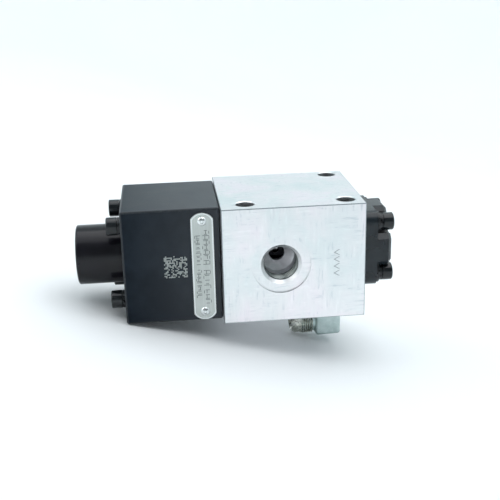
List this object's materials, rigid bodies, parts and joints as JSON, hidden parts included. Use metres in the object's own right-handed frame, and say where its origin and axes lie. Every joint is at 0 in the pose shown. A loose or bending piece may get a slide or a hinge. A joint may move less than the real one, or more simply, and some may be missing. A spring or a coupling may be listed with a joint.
{
  "type": "solenoid directional valve",
  "caption": "Spool valve in a square metal block with a square solenoid housing and round connector on one end, a bolted end cover on the other and an elbow fitting below.",
  "frame": {"origin": "centre of the valve block's top mounting face", "axes": "+X along the spool from the solenoid to the end cover, +Z out of the top mounting face, -Y out of the inlet port"},
  "size_m": [0.1781, 0.0724, 0.089],
  "materials": {
    "machined_aluminium": "fine machined, clear anodised",
    "black_anodised": "black anodised, satin",
    "black_cast": "black coated, satin gloss",
    "shell_plastic": "black, semi-gloss",
    "insert_plastic": "dark moulded",
    "plate_aluminium": "brushed, marked",
    "rivet_steel": "bright domed",
    "black_screw_steel": "black oxide, oiled",
    "washer_steel": "black oxide",
    "plated_fitting": "zinc-nickel plated",
    "sleeve_steel": "ground",
    "bright_steel": "polished",
    "spring_steel": "drawn wire",
    "magnet_iron": "plated iron",
    "copper": "enamelled copper",
    "contact_brass": "plated contact",
    "seal_rubber": "nitrile"
  },
  "bodies": {
    "root": {"coil_bobbin": "insert_plastic", "coil_lead_1": "copper", "coil_lead_2": "copper", "coil_winding": "copper", "connector_seal": "seal_rubber", "connector_shell": "shell_plastic", "contact_insert": "insert_plastic", "contact_pin_1": "contact_brass", "contact_pin_2": "contact_brass", "contact_pin_3": "contact_brass", "cover_flat_washer_1": "washer_steel", "cover_flat_washer_2": "washer_steel", "cover_flat_washer_3": "washer_steel", "cover_flat_washer_4": "washer_steel", "cover_lock_washer_1": "washer_steel", "cover_lock_washer_2": "washer_steel", "cover_lock_washer_3": "washer_steel", "cover_lock_washer_4": "washer_steel", "cover_screw_1": "black_screw_steel", "cover_screw_2": "black_screw_steel", "cover_screw_3": "black_screw_steel", "cover_screw_4": "black_screw_steel", "cover_seal": "seal_rubber", "elbow_fitting": "plated_fitting", "elbow_locknut": "plated_fitting", "elbow_seal": "seal_rubber", "end_cover": "black_cast", "guide_tube": "bright_steel", "housing_lock_washer_1": "washer_steel", "housing_lock_washer_2": "washer_steel", "housing_lock_washer_3": "washer_steel", "housing_lock_washer_4": "washer_steel", "housing_screw_1": "black_screw_steel", "housing_screw_2": "black_screw_steel", "housing_screw_3": "black_screw_steel", "housing_screw_4": "black_screw_steel", "nameplate": "plate_aluminium", "nameplate_rivet_1": "rivet_steel", "nameplate_rivet_2": "rivet_steel", "pole_piece": "magnet_iron", "pole_seal": "seal_rubber", "return_spring": "spring_steel", "sleeve_o_ring_1": "seal_rubber", "sleeve_o_ring_2": "seal_rubber", "sleeve_o_ring_3": "seal_rubber", "sleeve_o_ring_4": "seal_rubber", "solenoid_housing": "black_anodised", "valve_body": "machined_aluminium", "valve_sleeve": "sleeve_steel"},
    "spool_group": {"spool": "bright_steel", "spring_seat": "sleeve_steel"},
    "armature_group": {"armature": "magnet_iron", "push_pin": "bright_steel"}
  },
  "joints": [
    {"name": "armature_slide", "type": "slide", "parent": "root", "child": "armature_group", "axis": [1, 0, 0], "range_m": [0, 0.003], "stiffness_N_per_m": 2500, "springref_m": -0.004},
    {"name": "spool_slide", "type": "slide", "parent": "root", "child": "spool_group", "axis": [1, 0, 0], "range_m": [0, 0.003], "deforming": ["return_spring"]}
  ],
  "couplings": [
    {"joint": "spool_slide", "follows": "armature_slide", "ratio": 1}
  ]
}
